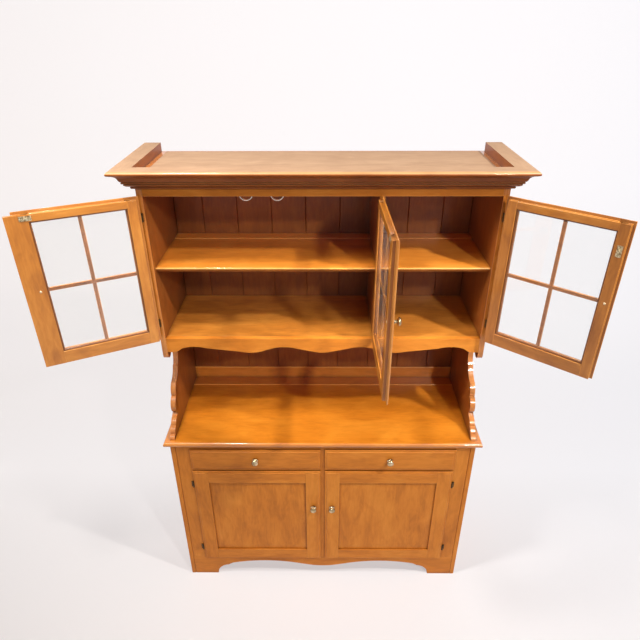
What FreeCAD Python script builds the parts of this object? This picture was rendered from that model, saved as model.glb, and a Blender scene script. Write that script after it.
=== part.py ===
import FreeCAD, Part
import math
import os
import re

# A step back cupboard in lacquered maple: a base with two drawers and two panelled doors, a counter,
# and a shallower hutch on scrolled sides with three glazed doors, shown standing open.
# Millimetres. +Z is up, the front faces -Y, and the origin is on the floor at the middle of the back.

SIZES = [
    # base and counter
    ("base_width", 1176), ("base_depth", 465), ("board_thick", 19), ("counter_height", 762),
    ("counter_thick", 20), ("counter_round", 9), ("counter_side_over", 21.5), ("counter_front_over", 12),
    ("back_thick", 7), ("plinth_height", 110), ("base_stile", 59), ("mullion_width", 26),
    ("drawer_rail", 20), ("drawer_opening_height", 90), ("base_shelf_height", 250),
    ("base_shelf_setback", 60), ("base_quirk", 3),
    # hutch case
    ("hutch_inset", 2), ("hutch_depth", 368), ("counter_space", 400), ("opening_height", 516),
    ("frieze_height", 60), ("frieze_reveal", 26), ("partition_thick", 17), ("partition_middle", 189),
    ("shelf_height", 268), ("shelf_setback", 16), ("shelf_round", 3), ("shelf_bevel", 14),
    ("plate_groove", 32), ("counter_groove", 6), ("plate_groove_deep", 2), ("plate_groove_back", 71),
    ("back_rail_height", 51), ("back_rail_thick", 9), ("plank_width", 131), ("plank_chamfer", 2),
    ("side_tip_drop", 88), ("side_tip_width", 46), ("side_tip_round", 19), ("side_hollow", 119),
    ("apron_high", 35), ("apron_low", 59), ("cornice_height", 64), ("cornice_reach", 64),
    # lipped doors
    ("lip_overlap", 5), ("lip_width", 9), ("lip_thick", 7), ("lip_step", 2), ("lip_round", 3.5),
    ("lip_gap", 1), ("door_thick", 18), ("door_play", 2.5), ("glass_stile", 45), ("meeting_stile", 48.5),
    ("glass_top_rail", 38), ("glass_bottom_rail", 49.5), ("glass_rabbet", 6), ("glass_thick", 3),
    ("glass_play", 0.5), ("bead_recess", 4), ("bead_bevel", 2), ("muntin_width", 12), ("muntin_thick", 6),
    ("meeting_lap", 21.5), ("meeting_shift", 3), ("meeting_gap", 1), ("lap_play", 0.5),
    ("panel_stile", 60), ("panel_bevel", 34), ("panel_rise", 5), ("panel_play", 1),
    ("left_open", 153), ("middle_open", 91), ("right_open", 139),
    # drawers
    ("drawer_side", 12), ("drawer_length", 400), ("drawer_play", 3), ("drawer_side_height", 74),
    ("drawer_bottom", 6), ("drawer_bottom_up", 8), ("runner_width", 24), ("runner_play", 0.3),
    # hinges
    ("knuckle_radius", 2.5), ("knuckle_play", 0.4), ("middle_knuckle", 10), ("pin_radius", 1.2),
    ("pin_play", 0.3), ("pin_depth", 3), ("leaf_thick", 0.8), ("leaf_reach", 7), ("edge_leaf_thick", 1),
    ("hinge_height", 28), ("hinge_inset", 63),
    # knobs, catches and pegs
    ("knob_radius", 13), ("knob_length", 24), ("knob_crown", 13), ("knob_neck", 5), ("knob_rose", 10.5),
    ("knob_rose_thick", 2), ("knob_screw", 2), ("screw_play", 0.5), ("screw_head", 4),
    ("screw_head_thick", 1.6), ("base_knob_drop", 195), ("strike_long", 34), ("strike_wide", 15),
    ("strike_thick", 1.2), ("strike_stub", 2), ("stub_share", 0.4), ("strike_place", 329),
    ("strike_drop", 89), ("clip_length", 54), ("clip_bow", 20), ("clip_drop", 18), ("clip_strip", 1.6),
    ("clip_width", 14), ("clip_back", 14.5), ("peg_radius", 3), ("peg_length", 14), ("peg_depth", 6),
    ("peg_play", 0.1), ("peg_inset", 60),
]

doc = FreeCAD.newDocument("step_back_cupboard")
sheet = doc.addObject("Spreadsheet::Sheet", "Sizes")
for row, (alias, value) in enumerate(SIZES, start=1):
    sheet.set(f"A{row}", alias.replace("_", " "))
    sheet.set(f"B{row}", str(value))
    sheet.setAlias(f"B{row}", alias)
doc.recompute()

ALIASES = {alias for alias, value in SIZES}
NODES = []
PLANES = {"x": "YZ_Plane", "y": "XZ_Plane", "z": "XY_Plane"}


def bound(text):
    """The expression with each size name pointed at the sheet."""
    return re.sub(r"[a-z_]+", lambda word: f"Sizes.{word[0]}" if word[0] in ALIASES else word[0], text)


def number(text):
    """The value of an expression of the sheet's sizes."""
    return float(sheet.evalExpression(bound(text)))


def vector(x, y, z):
    return FreeCAD.Vector(number(x), number(y), number(z))


def node(piece):
    """Marks a finished object as one piece of the cupboard, written under its label."""
    NODES.append(piece)
    return piece


def box(label, size, at):
    """A board with its sizes and its low corner bound to the sheet."""
    piece = doc.addObject("Part::Box", label)
    for name, text in zip(("Length", "Width", "Height"), size):
        piece.setExpression(name, bound(text))
    for name, text in zip("xyz", at):
        piece.setExpression(f"Placement.Base.{name}", bound(text))
    return piece


def handed_box(label, hand, start, end, back_from, back_to, low, high):
    """A board of a door, measured from its hinge: hand 1 runs to +X, hand -1 to -X."""
    left = start if hand > 0 else f"-({end})"
    size = (f"({end}) - ({start})", f"({back_to}) - ({back_from})", f"({high}) - ({low})")
    return box(label, size, (left, back_from, low))


def rod(label, radius, length, at, direction=(0, 0, 1)):
    """A round bar from one end, along a direction."""
    piece = doc.addObject("Part::Cylinder", label)
    piece.setExpression("Radius", bound(radius))
    piece.setExpression("Height", bound(length))
    turn = FreeCAD.Rotation(FreeCAD.Vector(0, 0, 1), FreeCAD.Vector(*direction))
    piece.Placement = FreeCAD.Placement(vector(*at), turn)
    return piece


def fused(label, pieces):
    piece = doc.addObject("Part::MultiFuse", label)
    piece.Shapes = pieces
    piece.Refine = True
    return piece


def cut(label, base, tools):
    piece = doc.addObject("Part::Cut", label)
    piece.Base = base
    piece.Tool = tools[0] if len(tools) == 1 else fused(f"{label}_tools", tools)
    piece.Refine = True
    return piece


def grouped(label, pieces):
    """Separate solids that share one node."""
    piece = doc.addObject("Part::Compound", label)
    piece.Links = pieces
    return piece


def lies_on(edge, whole, side):
    """Whether an edge lies on one side of the whole, such as y- for the front."""
    axis = side[0].upper()
    limit = getattr(whole, axis + ("Min" if side[1] == "-" else "Max"))
    return abs(getattr(edge, axis + "Min") - limit) < 1e-6 and abs(getattr(edge, axis + "Max") - limit) < 1e-6


def eased(label, piece, radius, corners, kind="Part::Fillet"):
    """Rounds or bevels the edges where two sides of a board meet, such as ("y-", "z+")."""
    doc.recompute()
    whole = piece.Shape.BoundBox
    size = number(radius)
    result = doc.addObject(kind, label)
    result.Base = piece
    result.Edges = [
        (place, size, size)
        for place, edge in enumerate(piece.Shape.Edges, start=1)
        if any(all(lies_on(edge.BoundBox, whole, side) for side in corner) for corner in corners)
    ]
    return result


def outline(start, steps):
    """Lines and arcs through a run of points: a step is an end, or a middle and an end."""
    edges = []
    here = FreeCAD.Vector(*start, 0)
    for step in steps:
        points = [FreeCAD.Vector(*point, 0) for point in step]
        edges.append(Part.LineSegment(here, points[-1]) if len(points) == 1 else Part.Arc(here, *points))
        here = points[-1]
    edges.append(Part.LineSegment(here, FreeCAD.Vector(*start, 0)))
    return edges


def sketched_body(label, axis, edges):
    """A body with one sketch square to an axis."""
    body = doc.addObject("PartDesign::Body", label)
    sketch = body.newObject("Sketcher::SketchObject", f"{label}_outline")
    plane = [part for part in body.Origin.OriginFeatures if part.Role == PLANES[axis]]
    sketch.AttachmentSupport = (plane[0], [""])
    sketch.MapMode = "FlatFace"
    sketch.addGeometry(edges)
    return body, sketch


def padded(label, axis, edges, depth, at=(), middle=False):
    """An outline given a thickness. Square to Y it grows towards the front, square to X to the right."""
    body, sketch = sketched_body(label, axis, edges)
    pad = body.newObject("PartDesign::Pad", f"{label}_pad")
    pad.Profile = sketch
    pad.setExpression("Length", bound(depth))
    if middle:
        pad.SideType = "Symmetric"
    for name, text in zip("xyz", at):
        body.setExpression(f"Placement.Base.{name}", bound(text))
    return body


def turned(label, edges):
    """An outline turned about the Y axis."""
    body, sketch = sketched_body(label, "z", edges)
    turning = body.newObject("PartDesign::Revolution", f"{label}_turning")
    turning.Profile = sketch
    turning.ReferenceAxis = (sketch, ["V_Axis"])
    return body


def scaled(steps, wide, high):
    """Steps of an outline given in shares of a width and a height."""
    return [[(x * wide, z * high) for x, z in step] for step in steps]


def symmetric(middle, start, steps):
    """An outline alike on both sides: an arc through the middle to a start on the right, then the steps."""
    ends = [start, *(step[-1] for step in steps)]
    left = [[*step[:-1], end] for step, end in zip(reversed(steps), reversed(ends[:-1]))]
    left = [[(-x, z) for x, z in step] for step in left]
    return outline((-ends[-1][0], ends[-1][1]), [*left, [middle, start], *steps])


# Heights and places that several pieces share
HUTCH_HALF = "(base_width / 2 - hutch_inset)"
INSIDE = f"({HUTCH_HALF} - board_thick)"
BASE_INSIDE = "(base_width / 2 - board_thick)"
STILE_INSIDE = "(base_width / 2 - board_thick - base_stile)"
HUTCH_BACK = "(-back_thick)"
COUNTER_UNDER = "(counter_height - counter_thick)"
DRAWER_TOP = f"({COUNTER_UNDER} - drawer_rail)"
DRAWER_LOW = f"({DRAWER_TOP} - drawer_opening_height)"
BASE_DOOR_TOP = f"({DRAWER_LOW} - drawer_rail)"
BASE_DOOR_HIGH = f"({BASE_DOOR_TOP} - plinth_height)"
CASE_FLOOR = "(counter_height + counter_space)"
FRIEZE_LOW = f"({CASE_FLOOR} + opening_height)"
CASE_TOP = f"({FRIEZE_LOW} + frieze_height)"
PARTITION_LEFT = "(partition_middle - partition_thick / 2)"
PARTITION_RIGHT = "(partition_middle + partition_thick / 2)"
SHELF_TOP = f"({CASE_FLOOR} + shelf_height)"
BASE_SHELF_TOP = "(plinth_height + base_shelf_height)"
PEG_PLACES = ("-back_thick - peg_inset", "-hutch_depth + shelf_setback + peg_inset")
BASE_PEG_PLACES = ("-back_thick - peg_inset", "-base_depth + base_shelf_setback + peg_inset")


# Base: two sides to the floor, a face frame, a scrolled plinth, a floor, a shelf and a back
def base_side(label, side):
    """A side of the base, with holes for two shelf pegs."""
    low_x = "-base_width / 2" if side < 0 else BASE_INSIDE
    board = box(f"{label}_board", ("board_thick", "base_depth", COUNTER_UNDER), (low_x, "-base_depth", "0"))
    outer, inner = ("x-", "x+") if side < 0 else ("x+", "x-")
    board = eased(f"{label}_quirk", board, "base_quirk", [("y-", inner)], "Part::Chamfer")
    board = eased(f"{label}_eased", board, "lip_round", [("y-", outer)])
    height = f"{BASE_SHELF_TOP} - board_thick - peg_radius"
    holes = [
        rod(f"{label}_hole_{place}", "peg_radius + peg_play", "peg_depth + peg_play",
            (f"{side} * {BASE_INSIDE}", y, height), (side, 0, 0))
        for place, y in enumerate(BASE_PEG_PLACES)
    ]
    return node(cut(label, board, holes))


base_side("base_side_left", -1)
base_side("base_side_right", 1)

STILE_SIZE = ("base_stile", "board_thick", f"{COUNTER_UNDER} - plinth_height")
left_stile = box("stile_left_board", STILE_SIZE, (f"-{BASE_INSIDE}", "-base_depth", "plinth_height"))
right_stile = box("stile_right_board", STILE_SIZE, (STILE_INSIDE, "-base_depth", "plinth_height"))
node(grouped("base_stiles", [
    eased("base_stile_left", left_stile, "base_quirk", [("y-", "x-")], "Part::Chamfer"),
    box("base_mullion", ("mullion_width", *STILE_SIZE[1:]),
        ("-mullion_width / 2", "-base_depth", "plinth_height")),
    eased("base_stile_right", right_stile, "base_quirk", [("y-", "x+")], "Part::Chamfer"),
]))

RAIL_SIZE = (f"{STILE_INSIDE} - mullion_width / 2", "board_thick", "drawer_rail")
node(grouped("base_rails", [
    box(f"base_rail_{level}_{hand}", RAIL_SIZE, (x, "-base_depth", z))
    for hand, x in (("left", f"-{STILE_INSIDE}"), ("right", "mullion_width / 2"))
    for level, z in (("top", DRAWER_TOP), ("middle", BASE_DOOR_TOP))
]))

PLINTH_SCROLL = [
    [(0, 0.464), (0.07, 0.482)], [(0.158, 0.573)], [(0.42, 0.755), (0.701, 0.609)], [(0.736, 0.5)],
    [(0.803, 0.318), (0.824, 0)], [(1, 0)], [(1, 1)],
]
(plinth_middle, plinth_start), *plinth_steps = scaled(
    PLINTH_SCROLL, number(BASE_INSIDE), number("plinth_height"))
node(padded("base_apron", "y", symmetric(plinth_middle, plinth_start, plinth_steps),
            "board_thick", ("0", "board_thick - base_depth", "0")))

BASE_FLOOR_SIZE = (f"2 * {BASE_INSIDE}", "base_depth - board_thick - back_thick", "board_thick")
node(box("base_bottom", BASE_FLOOR_SIZE,
         (f"-{BASE_INSIDE}", "board_thick - base_depth", "plinth_height - board_thick")))
shelf_board = box("base_shelf_board",
                  (f"2 * {BASE_INSIDE}", "base_depth - base_shelf_setback - back_thick", "board_thick"),
                  (f"-{BASE_INSIDE}", "base_shelf_setback - base_depth", f"{BASE_SHELF_TOP} - board_thick"))
node(eased("base_shelf", shelf_board, "shelf_round", [("y-", "z+"), ("y-", "z-")]))
node(box("base_back", (f"2 * {BASE_INSIDE}", "back_thick", COUNTER_UNDER),
         (f"-{BASE_INSIDE}", HUTCH_BACK, "0")))

# Drawer carcass: a divider behind the mullion, and a runner under each side of each drawer
RUNNER_TOP = f"({DRAWER_LOW} + drawer_play - runner_play)"
DIVIDER_SIZE = ("board_thick", "base_depth - board_thick - back_thick", f"{COUNTER_UNDER} - {BASE_DOOR_TOP}")
node(box("drawer_divider", DIVIDER_SIZE, ("-board_thick / 2", "board_thick - base_depth", BASE_DOOR_TOP)))
OUTER_RUNNER = f"({BASE_INSIDE} - {STILE_INSIDE} + runner_width)"
runners = []
for hand, side in (("left", -1), ("right", 1)):
    for name, near, width in (("inner", "board_thick / 2", "runner_width"),
                              ("outer", f"{BASE_INSIDE} - {OUTER_RUNNER}", OUTER_RUNNER)):
        x = near if side > 0 else f"-({near} + {width})"
        size = (width, "base_depth - board_thick - back_thick", f"{RUNNER_TOP} - {BASE_DOOR_TOP}")
        runners.append(box(f"runner_{hand}_{name}", size, (x, "board_thick - base_depth", BASE_DOOR_TOP)))
node(grouped("drawer_runners", runners))

COUNTER_HALF = "(base_width / 2 + counter_side_over)"
COUNTER_DEPTH = "(base_depth + counter_front_over)"
counter_board = box("counter_board", (f"2 * {COUNTER_HALF}", COUNTER_DEPTH, "counter_thick"),
                    (f"-{COUNTER_HALF}", f"-{COUNTER_DEPTH}", COUNTER_UNDER))
COUNTER_EDGES = [(side, face) for side in ("y-", "x-", "x+") for face in ("z-", "z+")]
counter_board = eased("counter_eased", counter_board, "counter_round", COUNTER_EDGES)
COUNTER_GROOVE = (f"2 * {INSIDE}", "counter_groove", "2 * plate_groove_deep")
counter_groove = box("counter_plate_groove", COUNTER_GROOVE,
                     (f"-{INSIDE}", "-back_thick - plate_groove_back - counter_groove / 2",
                      "counter_height - plate_groove_deep"))
node(cut("counter_top", counter_board, [counter_groove]))


# Hutch sides: boards from the counter to the cornice, scrolled below the case
def side_outline():
    """The side seen from the right: its edges, the hanging tip, a deep hollow, an ogee, a lobe and a foot."""
    front, top = number("-hutch_depth"), number(CASE_TOP)
    counter, space = number("counter_height"), number("counter_space")
    tip, tip_round = number(f"{CASE_FLOOR} - side_tip_drop"), number("side_tip_round")
    tip_width = number("side_tip_width")
    hollow, reach = number("side_hollow"), number("hutch_depth - base_depth")
    hanging_tip = [
        [(0, 1)], [(0.11, 0.29), (0.39, 0)], [(0.72, 0.16), (0.91, 0.68)], [(1, 1)],
    ]
    upper_scroll = [
        [(0.975, 0.683), (0.857, 0.57)], [(0.782, 0.5625)], [(0.597, 0.4925), (0.319, 0.4575)],
        [(0.168, 0.4075), (0.134, 0.34)], [(0.084, 0.335)], [(-0.076, 0.2925), (-0.109, 0.2275)],
        [(-0.076, 0.2025), (0.017, 0.185)],
    ]
    foot_scroll = [
        [(0.103, 0.1625), (0.247, 0.15)], [(0.299, 0.145)], [(0.412, 0.1275), (0.464, 0.0975)],
        [(0.536, 0.0925)], [(0.67, 0.0725), (0.711, 0.0425)], [(0.773, 0.039)], [(0.876, 0.025), (0.907, 0)],
    ]
    edges = [[(0, top)], [(front, top)]]
    for steps, across, up, low in (
        (hanging_tip, tip_width, tip_round, tip),
        (upper_scroll, hollow, space, counter),
        (foot_scroll, reach, space, counter),
    ):
        edges += [[(front + y, low + z) for y, z in step] for step in scaled(steps, across, up)]
    return outline((0, counter), edges)


def hutch_side(label, side):
    """A side of the hutch, with holes for two shelf pegs."""
    low = f"-{HUTCH_HALF}" if side < 0 else INSIDE
    board = padded(f"{label}_board", "x", side_outline(), "board_thick", (low, "0", "0"))
    height = f"{SHELF_TOP} - board_thick - peg_radius"
    holes = [
        rod(f"{label}_hole_{place}", "peg_radius + peg_play", "peg_depth + peg_play",
            (f"{side} * {INSIDE}", y, height), (side, 0, 0))
        for place, y in enumerate(PEG_PLACES)
    ]
    return node(cut(label, board, holes))


hutch_side("hutch_side_left", -1)
hutch_side("hutch_side_right", 1)

# Hutch case: floor, top, partition, frieze rail and the shaped apron under the doors
CASE_DEPTH = "(hutch_depth - board_thick - back_thick)"
node(box("case_bottom", (f"2 * {INSIDE}", CASE_DEPTH, "board_thick"),
         (f"-{INSIDE}", "board_thick - hutch_depth", f"{CASE_FLOOR} - board_thick")))
node(box("case_top", (f"2 * {INSIDE}", CASE_DEPTH, "board_thick"),
         (f"-{INSIDE}", "board_thick - hutch_depth", f"{CASE_TOP} - board_thick")))
node(box("frieze_rail", (f"2 * {INSIDE}", "board_thick", "frieze_height"),
         (f"-{INSIDE}", "-hutch_depth", FRIEZE_LOW)))

partition_lower = box("partition_front",
                      ("partition_thick", "board_thick", "opening_height"),
                      (PARTITION_LEFT, "-hutch_depth", CASE_FLOOR))
partition_rear = box("partition_rear",
                     ("partition_thick", CASE_DEPTH, f"{CASE_TOP} - board_thick - {CASE_FLOOR}"),
                     (PARTITION_LEFT, "board_thick - hutch_depth", CASE_FLOOR))
PEG_HEIGHT = f"{SHELF_TOP} - board_thick - peg_radius"
partition_holes = [
    rod(f"partition_hole_{name}_{place}", "peg_radius + peg_play", "peg_depth + peg_play",
        (x, y, PEG_HEIGHT), (way, 0, 0))
    for name, x, way in (("left", PARTITION_LEFT, 1), ("right", PARTITION_RIGHT, -1))
    for place, y in enumerate(PEG_PLACES)
]
node(cut("hutch_partition", fused("partition_board", [partition_lower, partition_rear]), partition_holes))

apron_high, apron_low = number("-apron_high"), number("-apron_low")
APRON_SCROLL = [
    [(0, 1), (0.07, 0.75)], [(0.168, 0.25)], [(0.243, 0), (0.318, 0.21)], [(0.392, 0.75)],
    [(0.455, 1), (0.529, 0.83)], [(0.741, 0.25)], [(0.85, 0), (0.903, 0.25)], [(0.928, 0.67)],
    [(0.947, 0.87), (0.968, 0.92)], [(1, 0.92)],
]
(apron_middle, apron_start), *apron_steps = [
    [(x, apron_high + z) for x, z in step]
    for step in scaled(APRON_SCROLL, number(INSIDE), apron_low - apron_high)
]
apron_steps.append([(number(INSIDE), 0)])
node(padded("shaped_apron", "y", symmetric(apron_middle, apron_start, apron_steps),
            "board_thick", ("0", "board_thick - hutch_depth", CASE_FLOOR)))

# Cornice: a moulding in three mitred lengths round the top of the case
CORNICE = scaled([
    [(0.05, 0)], [(0.155, 0.03), (0.17, 0.1)], [(0.145, 0.12)], [(0.2, 0.13)],
    [(0.33, 0.175), (0.42, 0.26)], [(0.385, 0.305)], [(0.48, 0.32)], [(0.49, 0.395)], [(0.46, 0.42)],
    [(0.515, 0.43)], [(0.57, 0.51), (0.6, 0.6)], [(0.7, 0.7), (0.86, 0.765)], [(0.97, 0.81)],
    [(0.99, 0.83), (1, 0.86)], [(0.959, 0.959), (0.86, 1)], [(0, 1)],
], number("cornice_reach"), number("cornice_height"))
CORNICE_LOW = f"({FRIEZE_LOW} + frieze_reveal)"


def moulding(label, axis, way, length, at, middle=False):
    edges = outline((0, 0), [[(way * out, up) for out, up in step] for step in CORNICE])
    return padded(label, axis, edges, length, at, middle)


def mitred(label, length, cuts):
    """Cuts a length of moulding along the 45 degree planes of the case's front corners."""
    block = number("6 * cornice_reach")
    tools = []
    for side, turn in cuts:
        tool = doc.addObject("Part::Box", f"{label}_mitre_{'left' if side < 0 else 'right'}")
        for name in ("Length", "Width", "Height"):
            tool.setExpression(name, bound("6 * cornice_reach"))
        rotation = FreeCAD.Rotation(FreeCAD.Vector(0, 0, 1), turn)
        corner = vector(f"{side} * {HUTCH_HALF}", "-hutch_depth", f"{CORNICE_LOW} - cornice_reach")
        offset = rotation.multVec(FreeCAD.Vector(0, -block / 2, 0))
        tool.Placement = FreeCAD.Placement(corner + offset, rotation)
        tools.append(tool)
    return cut(label, length, tools)


front_length = moulding("cornice_front_length", "x", -1, f"2 * ({HUTCH_HALF} + cornice_reach)",
                        ("0", "-hutch_depth", CORNICE_LOW), middle=True)
node(mitred("cornice_front", front_length, [(1, 45), (-1, 135)]))
returns = []
for hand, side, turn in (("left", -1, -45), ("right", 1, 225)):
    length = moulding(f"cornice_{hand}_length", "y", side, "hutch_depth + cornice_reach",
                      (f"{side} * {HUTCH_HALF}", "0", CORNICE_LOW))
    returns.append(mitred(f"cornice_{hand}", length, [(side, turn)]))
node(grouped("cornice_returns", returns))

# Back: upright planks with bevelled edges, and a low rail along the counter
plank_count = 2 * math.ceil(number(f"({INSIDE} - plank_width / 2) / plank_width")) + 1
planks = []
for place in range(plank_count):
    middle = f"({place - plank_count // 2} * plank_width)"
    low_x = f"max({middle} - plank_width / 2; -{INSIDE})"
    high_x = f"min({middle} + plank_width / 2; {INSIDE})"
    plank = box(f"plank_board_{place}",
                (f"{high_x} - ({low_x})", "back_thick", f"{CASE_TOP} - counter_height"),
                (low_x, HUTCH_BACK, "counter_height"))
    edges = [("y-", "x-"), ("y-", "x+")]
    planks.append(eased(f"plank_{place}", plank, "plank_chamfer", edges, "Part::Chamfer"))
node(grouped("back_boards", planks))
rail_board = box("back_rail_board", (f"2 * {INSIDE}", "back_rail_thick", "back_rail_height"),
                 (f"-{INSIDE}", "-back_thick - back_rail_thick", "counter_height"))
node(eased("back_rail", rail_board, "shelf_round", [("y-", "z+")]))


# Shelves: one in each part of the hutch, with a groove for standing plates
def hutch_shelf(label, low_x, high_x):
    board = box(f"{label}_board",
                (f"{high_x} - ({low_x})", "hutch_depth - shelf_setback - back_thick", "board_thick"),
                (low_x, "shelf_setback - hutch_depth", f"{SHELF_TOP} - board_thick"))
    board = eased(f"{label}_bevelled", board, "shelf_bevel", [("y-", "z-")], "Part::Chamfer")
    board = eased(f"{label}_eased", board, "shelf_round", [("y-", "z+")])
    groove = box(f"{label}_groove", (f"{high_x} - ({low_x})", "plate_groove", "2 * plate_groove_deep"),
                 (low_x, "-back_thick - plate_groove_back - plate_groove / 2",
                  f"{SHELF_TOP} - plate_groove_deep"))
    return node(cut(label, board, [groove]))


hutch_shelf("shelf_wide", f"-{INSIDE}", PARTITION_LEFT)
hutch_shelf("shelf_narrow", PARTITION_RIGHT, INSIDE)

BASE_PEG_HEIGHT = f"{BASE_SHELF_TOP} - board_thick - peg_radius"
pegs = []
for name, x, way, places, height in (
    ("wide_left", f"-{INSIDE}", -1, PEG_PLACES, PEG_HEIGHT),
    ("wide_right", PARTITION_LEFT, 1, PEG_PLACES, PEG_HEIGHT),
    ("narrow_left", PARTITION_RIGHT, -1, PEG_PLACES, PEG_HEIGHT),
    ("narrow_right", INSIDE, 1, PEG_PLACES, PEG_HEIGHT),
    ("base_left", f"-{BASE_INSIDE}", -1, BASE_PEG_PLACES, BASE_PEG_HEIGHT),
    ("base_right", BASE_INSIDE, 1, BASE_PEG_PLACES, BASE_PEG_HEIGHT),
):
    for place, y in enumerate(places):
        pegs.append(rod(f"peg_{name}_{place}", "peg_radius", "peg_length",
                        (f"{x} + {way} * peg_depth", y, height), (-way, 0, 0)))
node(grouped("shelf_pegs", pegs))

# Doors: a frame with a lip that laps over the case, hung on small butt hinges at the lip's edge
PIN_OUT = "(knuckle_radius + knuckle_play + edge_leaf_thick)"
PIN_FORWARD = "(lip_gap + lip_thick - pin_depth)"
FRONT_FACE = "(-pin_depth)"
STEP_FACE = "(lip_step - pin_depth)"
LIP_BACK = "(lip_thick - pin_depth)"
BACK_FACE = "(door_thick - pin_depth)"


class Door:
    """Places of one door, measured from its hinge pin along the door, backwards and up."""

    def __init__(self, name, hand, pin, turn, lip_end, body_end, sights, heights):
        self.name, self.hand = name, hand
        self.lip_end, self.body_end = f"({PIN_OUT} + {lip_end})", f"({PIN_OUT} + {body_end})"
        self.sight_start, self.sight_end = (f"({PIN_OUT} + {sight})" for sight in sights)
        self.lip_low, self.body_low, self.sight_low, self.sight_high, self.body_high, self.lip_high = heights
        self.swing = FreeCAD.Placement(vector(*pin), FreeCAD.Rotation(FreeCAD.Vector(0, 0, 1), turn))

    def hung(self, piece):
        """Hangs a finished piece of the door on its pin, at the angle that the door stands open."""
        piece.Placement = self.swing.multiply(piece.Placement)
        return node(piece)

    def board(self, label, *places):
        return handed_box(f"{self.name}_{label}", self.hand, *places)


def sides_of(door, outer):
    """The x side of a door's board that is on the hinge side, or on the free side."""
    return "x-" if (door.hand > 0) == (outer == "hinge") else "x+"


def knob_hole(door, place, height):
    return rod(f"{door.name}_knob_hole", "knob_screw + screw_play", "3 * door_thick",
               (f"{door.hand} * {place}", "-door_thick", height), (0, 1, 0))


def door_frame(door, rabbet, knob_place, knob_height):
    """Two stiles and two rails, each with a lip, a face stepped up from it and a narrower back half."""
    top, bottom = [("y-", "z+")], [("y-", "z-")]
    hinge_side, free_side = [("y-", sides_of(door, "hinge"))], [("y-", sides_of(door, "free"))]
    back_start, back_end = f"{door.sight_start} - {rabbet}", f"{door.sight_end} + {rabbet}"
    face_start, face_end = f"({PIN_OUT} + lip_width)", f"({door.lip_end} - lip_width)"
    face_low, face_high = f"({door.lip_low} + lip_width)", f"({door.lip_high} - lip_width)"
    members = []
    for label, front, rear, front_heights, rear_heights, edges in (
        ("hinge_stile", (PIN_OUT, door.sight_start), (f"{PIN_OUT} + lip_width", back_start),
         (door.lip_low, door.lip_high), (door.body_low, door.body_high), hinge_side + top + bottom),
        ("free_stile", (door.sight_end, door.lip_end), (back_end, f"min({door.lip_end}; {door.body_end})"),
         (door.lip_low, door.lip_high), (door.body_low, door.body_high), free_side + top + bottom),
        ("top_rail", (door.sight_start, door.sight_end), (back_start, back_end),
         (door.sight_high, door.lip_high), (f"{door.sight_high} + {rabbet}", door.body_high), top),
        ("bottom_rail", (door.sight_start, door.sight_end), (back_start, back_end),
         (door.lip_low, door.sight_low), (door.body_low, f"{door.sight_low} - {rabbet}"), bottom),
    ):
        lip = door.board(f"{label}_lip", *front, STEP_FACE, LIP_BACK, *front_heights)
        lip = eased(f"{door.name}_{label}_eased", lip, "lip_round", edges)
        halves = [
            lip,
            door.board(f"{label}_face", f"max({front[0]}; {face_start})", f"min({front[1]}; {face_end})",
                       FRONT_FACE, STEP_FACE, f"max({front_heights[0]}; {face_low})",
                       f"min({front_heights[1]}; {face_high})"),
            door.board(f"{label}_rear", *rear, LIP_BACK, BACK_FACE, *rear_heights),
        ]
        if label == "free_stile" and number(door.body_end) > number(door.lip_end):
            halves.append(door.board("lap_tongue", door.lip_end, door.body_end, f"{LIP_BACK} + lap_play",
                                     BACK_FACE, door.body_low, door.body_high))
        member = fused(f"{door.name}_{label}", halves)
        if label == "free_stile":
            member = cut(f"{door.name}_{label}_bored", member, [knob_hole(door, knob_place, knob_height)])
        members.append(member)
    return door.hung(grouped(f"{door.name}_frame", members))


def quarter(start, end):
    """The middle of a round that leaves the start along x and meets the end along y."""
    along, across = math.sin(math.radians(45)), 1 - math.cos(math.radians(45))
    return (start[0] + (end[0] - start[0]) * along, start[1] + (end[1] - start[1]) * across)


def knob(name, hand, place, height, face, back):
    """A turned knob whose screw passes through the wood, with the screw's head on the back."""
    radius, neck, rose = number("knob_radius"), number("knob_neck"), number("knob_rose")
    front, crown = number("-knob_length"), number("knob_crown - knob_length")
    waist, rim = number("(knob_crown - knob_length) / 2"), number("-knob_rose_thick")
    shank, head, tip = number("knob_screw"), number("screw_head"), number("screw_head / 2")
    through, end = number(f"{back} - ({face})"), number(f"{back} - ({face}) + screw_head_thick")
    flat = (tip, front)
    bulge = (radius, (front + crown) / 2)
    edges = outline((0, front), [
        [flat], [quarter(flat, bulge), bulge],
        [quarter((neck, crown), bulge), (neck, crown)],
        [(neck, waist)], [quarter((rose, rim), (neck, waist)), (rose, rim)], [(rose, 0)],
        [(shank, 0)], [(shank, through)], [(head, through)],
        [quarter((tip, end), (head, through)), (tip, end)], [(0, end)],
    ])
    piece = turned(f"{name}_knob", edges)
    piece.Placement = FreeCAD.Placement(vector(f"{hand} * {place}", face, height), FreeCAD.Rotation())
    return piece


def hinges(door):
    """The name and the middle height of each of a door's two hinges."""
    low, high = f"({door.body_low} + hinge_inset)", f"({door.body_high} - hinge_inset)"
    return (("leaf_low", low), ("leaf_high", high))


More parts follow.
